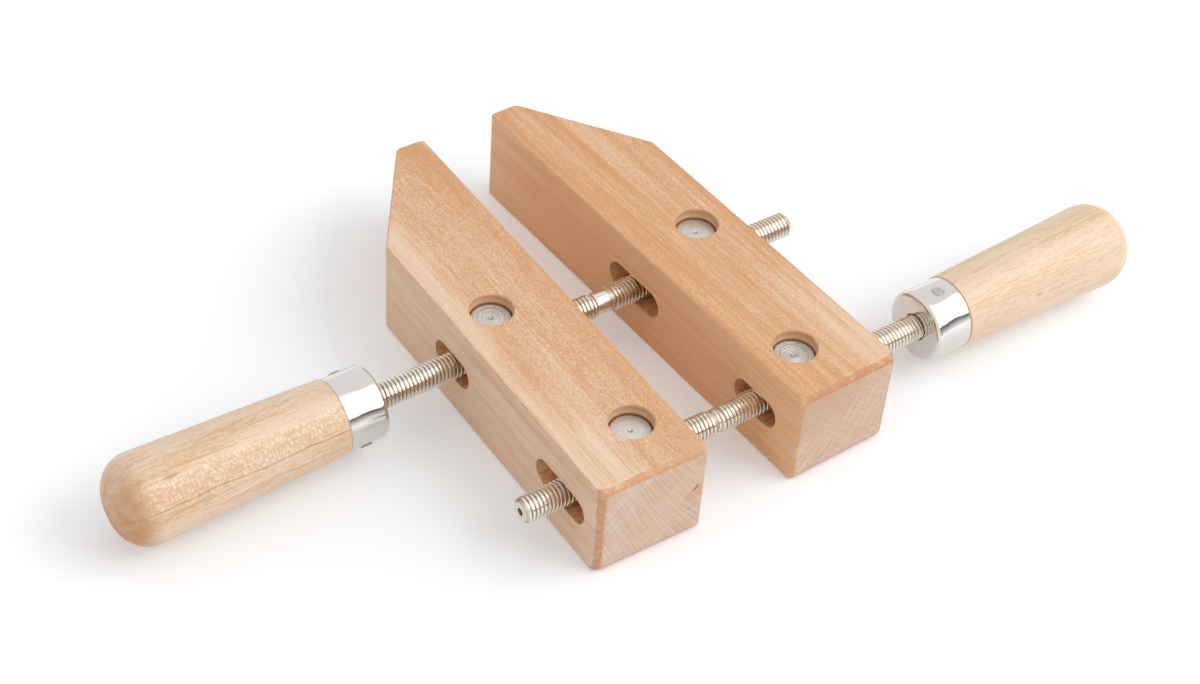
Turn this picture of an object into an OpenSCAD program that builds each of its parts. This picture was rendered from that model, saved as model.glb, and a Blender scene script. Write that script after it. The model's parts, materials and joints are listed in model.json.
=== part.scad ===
// Wooden handscrew clamp: two maple jaws on two double-threaded spindles.
// Millimetres, +Z up, spindles along X, jaw noses toward +Y, resting on the bottom faces of the jaws.

/* [Jaws] */
// length of each jaw from back end to nose
jaw_length = 152.4; // [120:0.1:200]
// width of each jaw, from clamping face to outer face
jaw_width = 34.9; // [30:0.1:45]
// height of each jaw, across the nut bores
jaw_height = 31.75; // [26:0.05:40]
// length of the tapered nose along the jaw
taper_length = 38.1; // [20:0.1:55]
// width of the blunt nose end
nose_width = 9.5; // [6:0.1:16]
// radius on the outer corner of the nose
nose_round = 2.4; // [0.8:0.1:4]
// eased arris along the long edges
edge_ease = 0.9; // [0.3:0.1:1.6]
// wider chamfer round the back end
back_ease = 2.1; // [1:0.1:3.5]
// opening between the clamping faces, measured along the end spindle
rest_gap = 31.6; // [20:0.1:40]
// inward lean of each jaw, noses closer than back ends
rest_lean = 1.5; // [0:0.1:2.5]

/* [Nuts] */
// diameter of the round cross nuts
nut_diameter = 12.7; // [11:0.1:15]
// depth of a nut face below the jaw surface
nut_recess = 3.6; // [1.5:0.1:6]
// chamfer on the nut rims
nut_chamfer = 0.5; // [0.2:0.1:1.2]
// width of the centre mark in a nut face
nut_dimple = 1.6; // [1:0.1:4.5]
// depth of the centre mark
nut_dimple_depth = 0.4; // [0.2:0.1:1.8]
// eased rim of the nut bores
rim_ease = 0.4; // [0.2:0.1:0.8]
// middle nut, distance from the back end
middle_nut_along = 76.2; // [65:0.1:90]
// middle nut, distance from the clamping face
middle_nut_in = 22.2; // [19:0.1:23]
// end nut, distance from the back end
end_nut_along = 19.05; // [16:0.05:26]
// end nut, distance from the clamping face
end_nut_in = 12.7; // [11.5:0.1:16]
// height of the flared spindle slots
slot_height = 9.0; // [8.6:0.1:11]
// half angle of the flared slots
slot_flare = 17.5; // [10:0.5:20]

/* [Spindles] */
// outer diameter of the spindle threads
spindle_diameter = 7.94; // [6.5:0.01:8.4]
// from the middle of the clamp to the ferrule face
spindle_reach = 76.2; // [68:0.1:95]
// from the middle of the clamp to the free end, middle spindle
middle_free = 72.5; // [60:0.1:90]
// from the middle of the clamp to the free end, end spindle
end_free = 64.0; // [55:0.1:85]
// diameter of the plain neck between the two threads
neck_diameter = 7.0; // [5:0.1:7.4]
// length of the plain neck on the middle spindle
middle_neck = 4.8; // [2:0.1:8]
// length of the plain neck on the end spindle
end_neck = 1.0; // [0.6:0.1:4]
// from the middle of the clamp to the neck of the middle spindle, along +X
middle_neck_at = 2.0; // [0:0.1:4]
// from the middle of the clamp to the neck of the end spindle, along +X
end_neck_at = 1.4; // [0:0.1:4]
// chamfer on the free ends
tip_chamfer = 0.9; // [0.4:0.1:1.5]
// diameter of the tang inside the handle
tang_diameter = 6.6; // [5:0.1:7.5]
// length of the tang inside the handle
tang_length = 34.0; // [24:0.5:50]

/* [Handles] */
// length of the handle outside the ferrule
handle_length = 68.3; // [55:0.1:100]
// diameter of the handle at the ferrule
handle_neck = 22.7; // [22.2:0.1:26]
// largest diameter of the handle
handle_diameter = 26.6; // [24:0.1:31]
// radius at the outer end of the handle
handle_round = 9.5; // [5:0.5:11]
// crown of the outer end of the handle
handle_crown = 0.6; // [0.2:0.1:1.5]
// eased shoulder of the handle at the ferrule
shoulder_ease = 0.3; // [0.1:0.1:0.6]
// outside diameter of the ferrule
ferrule_diameter = 22.2; // [20:0.1:22.2]
// length of the ferrule
ferrule_length = 12.7; // [10:0.1:22]
// wall of the ferrule
ferrule_wall = 1.0; // [0.6:0.1:1.6]
// radius on the front edge of the ferrule
ferrule_round = 1.6; // [0.4:0.1:2.4]
// diameter of the cross rivet
rivet_diameter = 3.8; // [2.5:0.1:4.5]
// distance of the rivet from the back edge of the ferrule
rivet_back = 5.8; // [4:0.1:8]
// how far each rivet end stands proud of the ferrule
rivet_proud = 0.25; // [0.1:0.05:0.6]
// chamfer on the rivet ends
rivet_chamfer = 0.3; // [0.1:0.05:0.5]
// turn of the middle spindle about its axis
middle_turn = 53; // [0:1:90]

/* [Fits] */
// radial clearance of a nut in its jaw bore
nut_fit = 0.05; // [0.02:0.01:0.1]
// radial clearance of a spindle in its nut
thread_fit = 0.06; // [0.02:0.01:0.1]

/* [Hidden] */
$fn = 72;
axis_height = jaw_height / 2;
nut_length = jaw_height - 2 * nut_recess;
nut_bore = nut_diameter + 2 * nut_fit;
thread_bore = spindle_diameter + 2 * thread_fit;
knee_along = jaw_length - taper_length;
end_half = rest_gap / 2 + end_nut_in / cos(rest_lean);
step_in = middle_nut_in - end_nut_in;
step_along = middle_nut_along - end_nut_along;
middle_half = end_half + step_in * cos(rest_lean) - step_along * sin(rest_lean);
middle_y = step_along * cos(rest_lean) + step_in * sin(rest_lean);
tenon_diameter = ferrule_diameter - 2 * ferrule_wall;
tenon_length = ferrule_length - ferrule_wall;
rivet_at = spindle_reach + ferrule_length - rivet_back;
rivet_length = ferrule_diameter + 2 * rivet_proud;
slot_reach = 1.2 * jaw_width;
slot_steps = 28;
// half width of a slot at the nut axis, between its round sides
slot_waist = 0.2;
// how far cutters run past what they cut
cut_over = 4;

// lean of the tapered face, and the arc that turns it into the nose end
taper_angle = atan2(jaw_width - nose_width, taper_length);
nose_run = nose_round * tan((90 - taper_angle) / 2);
nose_steps = 4;
nose_arc = [
    for (i = [0:nose_steps])
    let (turn = taper_angle + (90 - taper_angle) * i / nose_steps)
    [nose_width - nose_run + nose_round * cos(turn), jaw_length - nose_round + nose_round * sin(turn)]
];

// jaw outline as distance from the clamping face and distance from the back end
outline = concat(
    [
        [edge_ease, 0],
        [jaw_width - back_ease, 0],
        [jaw_width, back_ease],
        [jaw_width, knee_along]
    ],
    nose_arc,
    [
        [edge_ease, jaw_length],
        [0, jaw_length - edge_ease],
        [0, edge_ease]
    ]
);

// outline height along Y once the jaw leans on its end nut
leaning = [
    for (p = outline)
    (p[1] - end_nut_along) * cos(rest_lean) + (p[0] - end_nut_in) * sin(rest_lean)
];
shift_y = -(max(leaning) + min(leaning)) / 2;

// jaw block in its own frame, end nut at the origin, clamping face toward -X
module jaw_block() {
    points = [for (p = outline) [p[0] - end_nut_in, p[1] - end_nut_along]];
    linear_extrude(height = jaw_height)
        polygon(points);
}

// takes off the top and bottom arrises along one edge, with the jaw on the left of the run
module arris(from, to, size) {
    run = to - from;
    out = size + cut_over;
    top = jaw_height;
    translate([from[0] - end_nut_in, from[1] - end_nut_along, 0])
        rotate([0, 0, atan2(run[1], run[0])])
            translate([-cut_over, 0, 0])
                rotate([90, 0, 90])
                    linear_extrude(height = norm(run) + 2 * cut_over) {
                        polygon([[-cut_over, -cut_over], [out, -cut_over], [-cut_over, out]]);
                        polygon([[-cut_over, top + cut_over], [-cut_over, top - out], [out, top + cut_over]]);
                    }
}

module arrises() {
    back_out = [jaw_width, 0];
    knee = [jaw_width, knee_along];
    nose = [nose_width, jaw_length];
    tip = [0, jaw_length];
    arris([0, 0], back_out, back_ease);
    arris(back_out, knee, edge_ease);
    arris(knee, nose, edge_ease);
    arris(nose, tip, edge_ease);
    arris(tip, [0, 0], edge_ease);
}

// rounded end section of a slot, as points in the plane at one distance from the nut
function slot_ring(along, half) = [
    for (i = [0:slot_steps - 1])
    let (
        turn = 360 * (i + 0.5) / slot_steps,
        side = cos(turn) > 0 ? 1 : -1
    )
    [along, side * half + slot_height / 2 * cos(turn), slot_height / 2 * sin(turn)]
];

// half of a flared slot, which lets the spindle swing about the nut axis
module slot_flank() {
    n = slot_steps;
    near = slot_ring(-cut_over / 2, slot_waist);
    far = slot_ring(slot_reach, slot_reach * tan(slot_flare));
    polyhedron(
        points = concat(near, far),
        faces = concat(
            [[for (i = [0:n - 1]) i]],
            [[for (i = [0:n - 1]) 2 * n - 1 - i]],
            [for (i = [0:n - 1]) [i, i + n, (i + 1) % n]],
            [for (i = [0:n - 1]) [(i + 1) % n, i + n, (i + 1) % n + n]]
        )
    );
}

module spindle_slot() {
    slot_flank();
    rotate([0, 0, 180])
        slot_flank();
}

// through bore for a nut, with an eased rim at each end
module nut_well() {
    rim = nut_bore + 4 * rim_ease;
    translate([0, 0, -cut_over])
        cylinder(d = nut_bore, h = jaw_height + 2 * cut_over);
    translate([0, 0, -rim_ease])
        cylinder(d1 = rim, d2 = nut_bore, h = 2 * rim_ease);
    translate([0, 0, jaw_height - rim_ease])
        cylinder(d1 = nut_bore, d2 = rim, h = 2 * rim_ease);
}

// right jaw in place; the left one is its mirror image
module jaw() {
    translate([end_half, shift_y, 0])
        rotate([0, 0, rest_lean])
            difference() {
                jaw_block();
                arrises();
                for (spot = [[0, 0], [step_in, step_along]])
                    translate([spot[0], spot[1], 0]) {
                        nut_well();
                        translate([0, 0, axis_height])
                            spindle_slot();
                    }
            }
}

module nut() {
    difference() {
        translate([0, 0, nut_recess])
            rotate_extrude()
                polygon([
                    [0, 0],
                    [nut_diameter / 2 - nut_chamfer, 0],
                    [nut_diameter / 2, nut_chamfer],
                    [nut_diameter / 2, nut_length - nut_chamfer],
                    [nut_diameter / 2 - nut_chamfer, nut_length],
                    [nut_dimple / 2, nut_length],
                    [0, nut_length - nut_dimple_depth]
                ]);
        translate([0, 0, axis_height])
            rotate([0, 90, 0])
                cylinder(d = thread_bore, h = 2 * nut_diameter, center = true);
    }
}

// spindle along +X with the handle end at +X, and its plain neck at one place along it
module spindle(free, neck, neck_at) {
    start = -free;
    seat = spindle_reach + ferrule_wall;
    neck_start = neck_at - neck / 2;
    neck_end = neck_at + neck / 2;
    rotate([0, 90, 0])
        difference() {
            union() {
                translate([0, 0, start])
                    cylinder(d1 = spindle_diameter - 2 * tip_chamfer, d2 = spindle_diameter, h = tip_chamfer);
                translate([0, 0, start + tip_chamfer])
                    cylinder(d = spindle_diameter, h = neck_start - start - tip_chamfer);
                translate([0, 0, neck_start])
                    cylinder(d = neck_diameter, h = neck);
                translate([0, 0, neck_end])
                    cylinder(d = spindle_diameter, h = seat - neck_end);
                translate([0, 0, seat])
                    cylinder(d = tang_diameter, h = tang_length);
            }
            rivet_bore();
        }
}

module rivet_bore() {
    translate([0, 0, rivet_at])
        rotate([0, 90, 0])
            cylinder(d = rivet_diameter, h = 3 * handle_diameter, center = true, $fn = 36);
}

module ferrule() {
    outer = ferrule_diameter / 2;
    inner = tenon_diameter / 2;
    r = ferrule_round;
    rotate([0, 90, 0])
        difference() {
            translate([0, 0, spindle_reach])
                rotate_extrude()
                    polygon(concat(
                        [[spindle_diameter / 2, 0]],
                        [for (a = [0:15:90]) [outer - r + r * sin(a), r - r * cos(a)]],
                        [
                            [outer, ferrule_length],
                            [inner, ferrule_length],
                            [inner, ferrule_wall],
                            [spindle_diameter / 2, ferrule_wall]
                        ]
                    ));
            rivet_bore();
        }
}

module handle() {
    start = spindle_reach + ferrule_wall;
    full = tenon_length + handle_length;
    big = handle_diameter / 2;
    r = handle_round;
    rotate([0, 90, 0])
        difference() {
            translate([0, 0, start])
                rotate_extrude()
                    polygon(concat(
                        [
                            [tang_diameter / 2, 0],
                            [tenon_diameter / 2, 0],
                            [tenon_diameter / 2, tenon_length],
                            [handle_neck / 2 - shoulder_ease, tenon_length],
                            [handle_neck / 2, tenon_length + shoulder_ease]
                        ],
                        [for (a = [0:10:90]) [big - r + r * cos(a), full - r - handle_crown + r * sin(a)]],
                        [
                            [0, full],
                            [0, tang_length],
                            [tang_diameter / 2, tang_length]
                        ]
                    ));
            rivet_bore();
        }
}

module rivet() {
    half = rivet_length / 2;
    radius = rivet_diameter / 2;
    translate([rivet_at, 0, 0])
        rotate_extrude($fn = 36)
            polygon([
                [0, -half],
                [radius - rivet_chamfer, -half],
                [radius, rivet_chamfer - half],
                [radius, half - rivet_chamfer],
                [radius - rivet_chamfer, half],
                [0, half]
            ]);
}

// puts a piece built along +X on the middle spindle, handle toward -X
module on_middle() {
    translate([0, shift_y + middle_y, axis_height])
        rotate([-middle_turn, 0, 0])
            rotate([0, 0, 180])
                children();
}

// puts a piece built along +X on the end spindle, handle toward +X
module on_end() {
    translate([0, shift_y, axis_height])
        children();
}

module left_jaw() {
    color([0.85, 0.66, 0.45])
        mirror([1, 0, 0])
            jaw();
}

module right_jaw() {
    color([0.85, 0.66, 0.45])
        jaw();
}

module left_middle_nut() {
    color([0.55, 0.54, 0.52])
        translate([-middle_half, shift_y + middle_y, 0])
            nut();
}

module left_end_nut() {
    color([0.55, 0.54, 0.52])
        translate([-end_half, shift_y, 0])
            nut();
}

module right_middle_nut() {
    color([0.55, 0.54, 0.52])
        translate([middle_half, shift_y + middle_y, 0])
            nut();
}

module right_end_nut() {
    color([0.55, 0.54, 0.52])
        translate([end_half, shift_y, 0])
            nut();
}

module middle_spindle() {
    color([0.76, 0.74, 0.70])
        on_middle()
            spindle(middle_free, middle_neck, -middle_neck_at);
}

module end_spindle() {
    color([0.76, 0.74, 0.70])
        on_end()
            spindle(end_free, end_neck, end_neck_at);
}

module middle_ferrule() {
    color([0.82, 0.81, 0.79])
        on_middle()
            ferrule();
}

module end_ferrule() {
    color([0.82, 0.81, 0.79])
        on_end()
            ferrule();
}

module middle_handle() {
    color([0.90, 0.75, 0.55])
        on_middle()
            handle();
}

module end_handle() {
    color([0.90, 0.75, 0.55])
        on_end()
            handle();
}

module middle_rivet() {
    color([0.70, 0.69, 0.67])
        on_middle()
            rivet();
}

module end_rivet() {
    color([0.70, 0.69, 0.67])
        on_end()
            rivet();
}

left_jaw();
right_jaw();
left_middle_nut();
left_end_nut();
right_middle_nut();
right_end_nut();
middle_spindle();
end_spindle();
middle_ferrule();
end_ferrule();
middle_handle();
end_handle();
middle_rivet();
end_rivet();
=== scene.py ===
"""Looks of a wooden handscrew clamp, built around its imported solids.

Sizes are millimetres in the classes of the clamp and become metres when a mesh or a node needs them.
"""

import json
import logging
import math
from dataclasses import dataclass
from enum import Enum

import bmesh
import bpy
from mathutils import Matrix, Vector


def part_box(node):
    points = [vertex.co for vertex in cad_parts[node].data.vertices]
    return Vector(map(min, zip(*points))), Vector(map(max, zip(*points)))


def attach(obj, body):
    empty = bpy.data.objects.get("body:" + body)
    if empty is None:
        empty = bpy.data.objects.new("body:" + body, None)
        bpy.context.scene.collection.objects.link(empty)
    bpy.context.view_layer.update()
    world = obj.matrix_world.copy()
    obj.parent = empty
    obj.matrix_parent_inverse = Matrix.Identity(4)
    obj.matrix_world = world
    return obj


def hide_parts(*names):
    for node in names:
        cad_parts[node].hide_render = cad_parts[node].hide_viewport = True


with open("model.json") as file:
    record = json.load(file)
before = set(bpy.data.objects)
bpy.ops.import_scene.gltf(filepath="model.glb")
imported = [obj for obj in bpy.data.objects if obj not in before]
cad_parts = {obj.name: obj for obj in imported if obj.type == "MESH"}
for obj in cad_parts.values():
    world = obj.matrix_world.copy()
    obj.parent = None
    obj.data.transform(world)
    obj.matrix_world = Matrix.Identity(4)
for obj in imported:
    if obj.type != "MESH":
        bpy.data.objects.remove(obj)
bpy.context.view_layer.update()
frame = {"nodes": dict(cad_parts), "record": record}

log = logging.getLogger("handscrew")

# A spot is a place by two coordinates, and a span is where a smooth step starts and ends
Colour = tuple[float, float, float]
Spot = tuple[float, float]
Span = tuple[float, float]
Ring = list[bmesh.types.BMVert]

MM = 0.001
PER_METRE = 1000.0
PHOTO_WIDTH = 1200
WHITE: Colour = (1.0, 1.0, 1.0)


class Side(Enum):
    """A jaw, with the sign of its X."""

    LEFT = -1
    RIGHT = 1


class Hand(Enum):
    """The hand of a thread, as the turn about +X that goes with a step along +X."""

    LEFT = -1
    RIGHT = 1


class Socket:
    """An output of a node. Arithmetic on it adds Math nodes to its graph."""

    def __init__(self, graph: "Graph", output: bpy.types.NodeSocket) -> None:
        """Keeps the graph and the output."""
        self.graph = graph
        self.output = output

    def math(self, operation: str, *others: "Socket | float") -> "Socket":
        """Adds a Math node that takes this socket first.

        Args:
            operation: The Math node's operation.
            others: Its further operands.

        Returns:
            The node's result.
        """
        return self.graph.math(operation, self, *others)

    def __add__(self, other: "Socket | float") -> "Socket":
        """Adds."""
        return self.math("ADD", other)

    def __radd__(self, other: float) -> "Socket":
        """Adds to a number."""
        return self.math("ADD", other)

    def __sub__(self, other: "Socket | float") -> "Socket":
        """Subtracts."""
        return self.math("SUBTRACT", other)

    def __rsub__(self, other: float) -> "Socket":
        """Subtracts from a number."""
        return self.graph.math("SUBTRACT", other, self)

    def __mul__(self, other: "Socket | float") -> "Socket":
        """Multiplies."""
        return self.math("MULTIPLY", other)

    def __rmul__(self, other: float) -> "Socket":
        """Multiplies a number."""
        return self.math("MULTIPLY", other)

    def __truediv__(self, other: "Socket | float") -> "Socket":
        """Divides."""
        return self.math("DIVIDE", other)

    def __rtruediv__(self, other: float) -> "Socket":
        """Divides a number."""
        return self.graph.math("DIVIDE", other, self)

    def __abs__(self) -> "Socket":
        """Drops the sign."""
        return self.math("ABSOLUTE")

    def least(self, *others: "Socket | float") -> "Socket":
        """Takes the smallest of several values.

        Args:
            others: The values beside this one.

        Returns:
            The smallest value.
        """
        result = self
        for other in others:
            result = result.math("MINIMUM", other)
        return result

    def root(self) -> "Socket":
        """The square root."""
        return self.math("SQRT")

    def hypot(self, other: "Socket") -> "Socket":
        """The long side of a right-angled triangle on this value and another."""
        return (self * self + other * other).root()

    def rise(self, low: float, high: float) -> "Socket":
        """A smooth step from 0 at low to 1 at high.

        Args:
            low: Value at which the step starts.
            high: Value at which it ends.

        Returns:
            The step, from 0 to 1.
        """
        limits = {"Value": self, "From Min": low, "From Max": high}
        return self.graph.out("ShaderNodeMapRange", {"interpolation_type": "SMOOTHSTEP"}, limits)

    def fall(self, low: float, high: float) -> "Socket":
        """A smooth step from 1 at low to 0 at high."""
        return 1 - self.rise(low, high)


class Graph:
    """The nodes of one material or world."""

    def __init__(self, owner: bpy.types.Material | bpy.types.World) -> None:
        """Starts an empty tree.

        Args:
            owner: The material or world that it belongs to.
        """
        owner.use_nodes = True
        self.owner = owner
        self.tree = owner.node_tree
        self.tree.nodes.clear()

    @classmethod
    def material(cls, name: str) -> "Graph":
        """A graph on a new material of that name."""
        return cls(bpy.data.materials.new(name))

    def node(self, kind: str, settings: dict | None = None, sockets: dict | None = None) -> bpy.types.Node:
        """Adds any node.

        Args:
            kind: The node's type.
            settings: Its properties, which are set first.
            sockets: Values or links of its inputs, by name or number.

        Returns:
            The node.
        """
        made = self.tree.nodes.new(kind)
        for name, value in (settings or {}).items():
            setattr(made, name, value)
        for key, value in (sockets or {}).items():
            target = made.inputs[key]
            if isinstance(value, Socket):
                self.tree.links.new(value.output, target)
            elif target.type == "RGBA":
                target.default_value = (*value[:3], 1.0)
            else:
                target.default_value = value
        return made

    def out(
        self,
        kind: str,
        settings: dict | None = None,
        sockets: dict | None = None,
        output: int | str = 0,
    ) -> Socket:
        """Adds any node and gives one of its outputs."""
        return Socket(self, self.node(kind, settings, sockets).outputs[output])

    def math(self, operation: str, *operands: Socket | float) -> Socket:
        """Adds a Math node on these operands."""
        return self.out("ShaderNodeMath", {"operation": operation}, dict(enumerate(operands)))

    def vector(self, x: Socket | float, y: Socket | float, z: Socket | float) -> Socket:
        """Three values as one vector."""
        return self.out("ShaderNodeCombineXYZ", None, {"X": x, "Y": y, "Z": z})

    def dot(self, vector: Socket, direction: Vector) -> Socket:
        """The part of a vector along a fixed direction."""
        sockets = {0: vector, 1: tuple(direction)}
        return self.out("ShaderNodeVectorMath", {"operation": "DOT_PRODUCT"}, sockets, "Value")

    def noise(self, place: Socket, detail: float = 2.0, roughness: float = 0.5) -> Socket:
        """Smooth noise about 0, most of it between -0.5 and 0.5.

        Args:
            place: Where it is read, already scaled.
            detail: How many finer layers it has.
            roughness: The weight of the finer layers.

        Returns:
            The noise.
        """
        sockets = {"Vector": place, "Scale": 1.0, "Detail": detail, "Roughness": roughness}
        return (self.out("ShaderNodeTexNoise", None, sockets) - 0.5) * 2

    def mix(self, factor: Socket | float, first: Socket | Colour, second: Socket | Colour) -> Socket:
        """A colour between two colours."""
        return self.out("ShaderNodeMix", {"data_type": "RGBA"}, {0: factor, 6: first, 7: second}, 2)

    def bump(self, height: Socket, depth: float) -> Socket:
        """A normal from a height.

        Args:
            height: Height of the surface in units of depth.
            depth: That unit, in millimetres.

        Returns:
            The normal.
        """
        return self.out("ShaderNodeBump", None, {"Strength": 1.0, "Distance": depth * MM, "Height": height})

    def surface(self, **sockets: Socket | float | Colour) -> bpy.types.Material:
        """Ends a material in one Principled shader.

        Args:
            sockets: Its inputs, with _ for a space in their names.

        Returns:
            The material.
        """
        named = {name.replace("_", " "): value for name, value in sockets.items()}
        shader = self.out("ShaderNodeBsdfPrincipled", None, named)
        self.node("ShaderNodeOutputMaterial", None, {"Surface": shader})
        return self.owner


@dataclass(frozen=True)
class Layer:
    """A layer of noise: its scale per millimetre across, along and up, and its texture."""

    across: float
    along: float
    up: float
    detail: float = 2.0
    roughness: float = 0.5


@dataclass(frozen=True)
class Place:
    """A surface point in a piece's own directions, in millimetres."""

    graph: Graph
    across: Socket
    along: Socket
    up: Socket

    def noise(self, layer: Layer, along: float = 0.0, up: float = 0.0) -> Socket:
        """Reads a layer of noise at this point.

        Args:
            layer: The layer.
            along: A shift along the layer, which gives each piece a pattern of its own.
            up: A shift up the layer.

        Returns:
            The noise, about 0.
        """
        run = self.along * layer.along + along
        rise = self.up * layer.up + up
        spot = self.graph.vector(self.across * layer.across, run, rise)
        return self.graph.noise(spot, layer.detail, layer.roughness)

    def off_axis(self) -> Socket:
        """Distance from the axis that runs along the piece."""
        return self.across.hypot(self.up)


@dataclass(frozen=True)
class Axes:
    """Where a piece lies: an origin and three unit directions in the frame."""

    origin: Vector
    across: Vector
    along: Vector
    up: Vector

    def place(self, graph: Graph) -> Place:
        """Reads where a surface point lies.

        Args:
            graph: The material's nodes.

        Returns:
            The point across, along and up from the origin.
        """
        point = graph.out("ShaderNodeTexCoord", output="Object")
        steps = [
            (graph.dot(point, axis) - axis.dot(self.origin)) * PER_METRE
            for axis in (self.across, self.along, self.up)
        ]
        return Place(graph, *steps)

    def facing(self, graph: Graph) -> tuple[Socket, Socket, Socket]:
        """How far a surface faces across, along and up, without sign."""
        normal = graph.out("ShaderNodeTexCoord", output="Normal")
        return tuple(abs(graph.dot(normal, axis)) for axis in (self.across, self.along, self.up))


@dataclass(frozen=True)
class Grain:
    """How one blank of maple grew."""

    pith_across: float
    pith_up: float
    ring_gap: float
    waver: float
    drifts: Layer = Layer(0.05, 0.012, 0.05)
    ripples: Layer = Layer(0.5, 0.05, 0.5, 1.0)
    ripple_size: float = 0.2
    ring_drift: float = 0.004

    def rings(self, place: Place) -> Socket:
        """Bands of uneven width where the blank cuts its growth rings.

        Args:
            place: A point of the blank, with along on the grain.

        Returns:
            The band's tone, about 0 and dark above it.
        """
        graph = place.graph
        drift = place.noise(self.drifts) * self.waver
        side = place.across - self.pith_across + drift
        rise = place.up - self.pith_up + drift
        radius = side.hypot(rise) + place.noise(self.ripples) * self.ripple_size
        spot = graph.vector(radius / self.ring_gap, place.along * self.ring_drift, self.waver)
        return graph.noise(spot, 3.0, 0.6)


@dataclass(frozen=True)
class JawSizes:
    """Sizes of a jaw."""

    length: float = 152.4
    width: float = 34.9
    height: float = 31.75
    taper_length: float = 38.1
    nose_width: float = 9.5
    nose_round: float = 2.4
    knee_round: float = 1.6
    edge_round: float = 0.65
    corner_round: float = 1.1
    back_round: float = 2.5
    well_radius: float = 6.4
    rim_ease: float = 0.4
    slot_height: float = 9.0
    slot_flare: float = 17.5
    slot_waist: float = 0.2
    slot_mouth: float = 11.0

    @property
    def taper_angle(self) -> float:
        """Lean of the tapered face."""
        return math.atan2(self.width - self.nose_width, self.taper_length)

    @property
    def knee(self) -> float:
        """Distance of the knee from the back end."""
        return self.length - self.taper_length


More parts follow.
